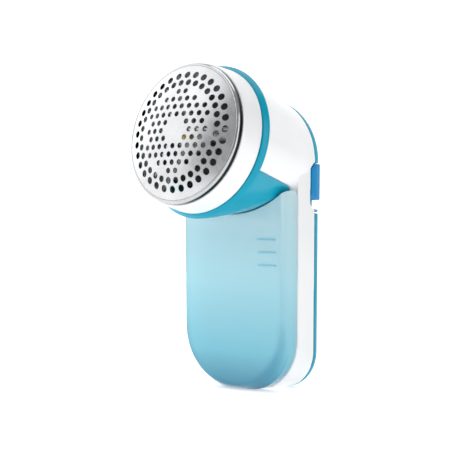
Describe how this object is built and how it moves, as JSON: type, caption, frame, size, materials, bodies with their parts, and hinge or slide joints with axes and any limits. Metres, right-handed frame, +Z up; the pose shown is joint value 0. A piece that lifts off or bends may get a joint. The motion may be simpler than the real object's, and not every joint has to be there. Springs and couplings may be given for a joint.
{
  "type": "fabric shaver",
  "caption": "Battery fabric shaver: tilted round pierced foil head with spinning blades, white handle, clear blue lint container, slide switch and sliding battery door.",
  "frame": {"origin": "middle of the flat foot under the handle, where the shaver stands", "axes": "+Z up along the handle, -Y is the side the shaving head faces, +X to the right when looking at the head along +Y, so the handle's width runs along X"},
  "size_m": [0.0632, 0.0667, 0.1326],
  "materials": {
    "foil_metal": "thin pierced steel, satin polish",
    "white_plastic": "glossy moulded",
    "teal_plastic": "glossy moulded",
    "button_plastic": "satin moulded",
    "clear_plastic": "clear tinted",
    "mark_print": "raised print",
    "inner_plastic": "fine textured",
    "steel": "brushed",
    "brass": "bright",
    "motor_metal": "plated",
    "cell_jacket": "printed sleeve",
    "board": "green resist",
    "seal_rubber": "soft",
    "red_wire": "sleeved",
    "black_wire": "sleeved"
  },
  "bodies": {
    "handle": {"trim_ring": "teal_plastic", "head_neck": "teal_plastic", "bulkhead": "inner_plastic", "shaft_seal": "seal_rubber", "motor_can": "motor_metal", "motor_endcap": "white_plastic", "motor_terminals": "brass", "motor_screws": "steel", "motor_cradle": "inner_plastic", "main_shell": "white_plastic", "rear_cover": "teal_plastic", "switch_body": "inner_plastic", "switch_board": "board", "battery_tray": "inner_plastic", "battery_left": "cell_jacket", "battery_right": "cell_jacket", "contact_springs": "steel", "bridge_plate": "steel", "contact_plates": "steel", "wire_red": "red_wire", "wire_black": "black_wire", "housing_screws": "steel"},
    "cutter": {"drive_shaft": "steel", "blade_carrier": "white_plastic", "cutter_blades": "steel", "hub_cap": "brass"},
    "ring": {"foil_screen": "foil_metal", "foil_rim": "foil_metal", "head_ring": "white_plastic"},
    "switch": {"switch_button": "button_plastic", "switch_carriage": "inner_plastic"},
    "container": {"lint_container": "clear_plastic", "fill_marks": "mark_print"},
    "door": {"battery_door": "teal_plastic"}
  },
  "joints": [
    {"name": "blade_spin", "type": "hinge", "parent": "handle", "child": "cutter", "pos_m": [0, -0.0454, 0.1043], "axis": [0, -0.982, 0.1891], "continuous": true},
    {"name": "ring_twist", "type": "hinge", "parent": "handle", "child": "ring", "pos_m": [0, -0.0454, 0.1043], "axis": [0, -0.982, 0.1891], "range_deg": [0, 22]},
    {"name": "switch_slide", "type": "slide", "parent": "handle", "child": "switch", "axis": [0, 0, -1], "range_m": [0, 0.0035]},
    {"name": "container_slide", "type": "slide", "parent": "handle", "child": "container", "axis": [0, 0, -1], "range_m": [0, 0.08]},
    {"name": "door_slide", "type": "slide", "parent": "handle", "child": "door", "axis": [0, 0, -1], "range_m": [0, 0.07]}
  ]
}
